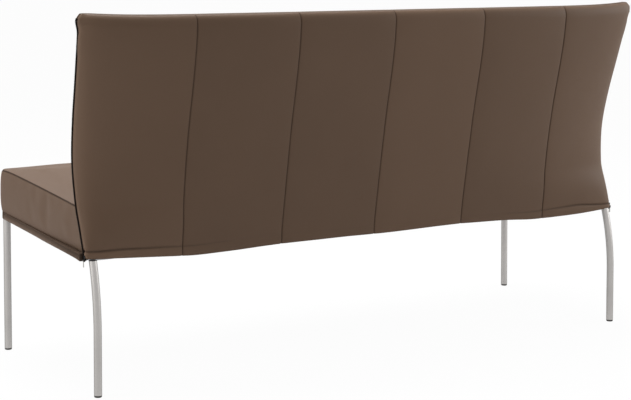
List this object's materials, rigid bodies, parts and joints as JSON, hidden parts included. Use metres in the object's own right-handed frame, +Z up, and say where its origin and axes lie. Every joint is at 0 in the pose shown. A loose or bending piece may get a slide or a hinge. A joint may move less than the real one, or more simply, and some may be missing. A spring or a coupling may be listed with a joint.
{
  "type": "dining sofa",
  "caption": "Long upholstered dining sofa on slim round steel legs, with a high flared back in sewn leather panels and a zip up each end.",
  "frame": {"origin": "on the floor, at the centre of the footprint of the whole sofa", "axes": "+Z up, -Y towards the front of the seat, +X towards the left hand of a person who sits on it"},
  "size_m": [1.6304, 0.65, 0.9],
  "materials": {
    "leather": "fine-grained brown leather, satin",
    "band_leather": "the same leather on the base band",
    "leg_steel": "satin tube",
    "glide": "dark moulded plastic",
    "frame_steel": "black powder coat",
    "cast_corner": "as cast",
    "zinc_steel": "zinc plated",
    "webbing": "elastic woven strap",
    "black_cloth": "thin woven cloth",
    "plywood": "moulded beech plywood",
    "padding": "wadding over foam",
    "zip_tape": "dark zip chain and tape",
    "zip_metal": "nickel plated"
  },
  "bodies": {
    "sofa": {"front_rail": "frame_steel", "rear_rail": "frame_steel", "left_rail": "frame_steel", "right_rail": "frame_steel", "cross_rail_left": "frame_steel", "cross_rail_middle": "frame_steel", "cross_rail_right": "frame_steel", "front_left_corner": "cast_corner", "front_right_corner": "cast_corner", "rear_left_corner": "cast_corner", "rear_right_corner": "cast_corner", "front_left_plate": "zinc_steel", "front_right_plate": "zinc_steel", "rear_left_plate": "zinc_steel", "rear_right_plate": "zinc_steel", "plate_screws": "zinc_steel", "front_left_leg": "leg_steel", "front_right_leg": "leg_steel", "rear_left_leg": "leg_steel", "rear_right_leg": "leg_steel", "front_left_glide": "glide", "front_right_glide": "glide", "rear_left_glide": "glide", "rear_right_glide": "glide", "front_band": "band_leather", "left_band": "band_leather", "right_band": "band_leather", "dust_cover": "black_cloth", "seat_webbing": "webbing", "seat_cushion": "leather", "left_cheek": "leather", "right_cheek": "leather", "upright_left": "frame_steel", "upright_middle": "frame_steel", "upright_right": "frame_steel", "back_core": "plywood", "core_bolts": "zinc_steel", "core_nuts": "zinc_steel", "tuck_pad": "padding", "front_pad": "leather", "rear_cover": "leather", "hem_tape": "black_cloth", "left_zip": "zip_tape", "right_zip": "zip_tape", "left_slider": "zip_metal", "right_slider": "zip_metal"},
    "left_zip_pull": {"left_pull": "zip_metal"},
    "right_zip_pull": {"right_pull": "zip_metal"}
  },
  "joints": [
    {"name": "left_pull_swing", "type": "hinge", "parent": "sofa", "child": "left_zip_pull", "pos_m": [0.79353, 0.20998, 0.32], "axis": [0, -1, 0], "range_deg": [-10, 150]},
    {"name": "right_pull_swing", "type": "hinge", "parent": "sofa", "child": "right_zip_pull", "pos_m": [-0.79353, 0.20998, 0.32], "axis": [0, 1, 0], "range_deg": [-10, 150]}
  ]
}
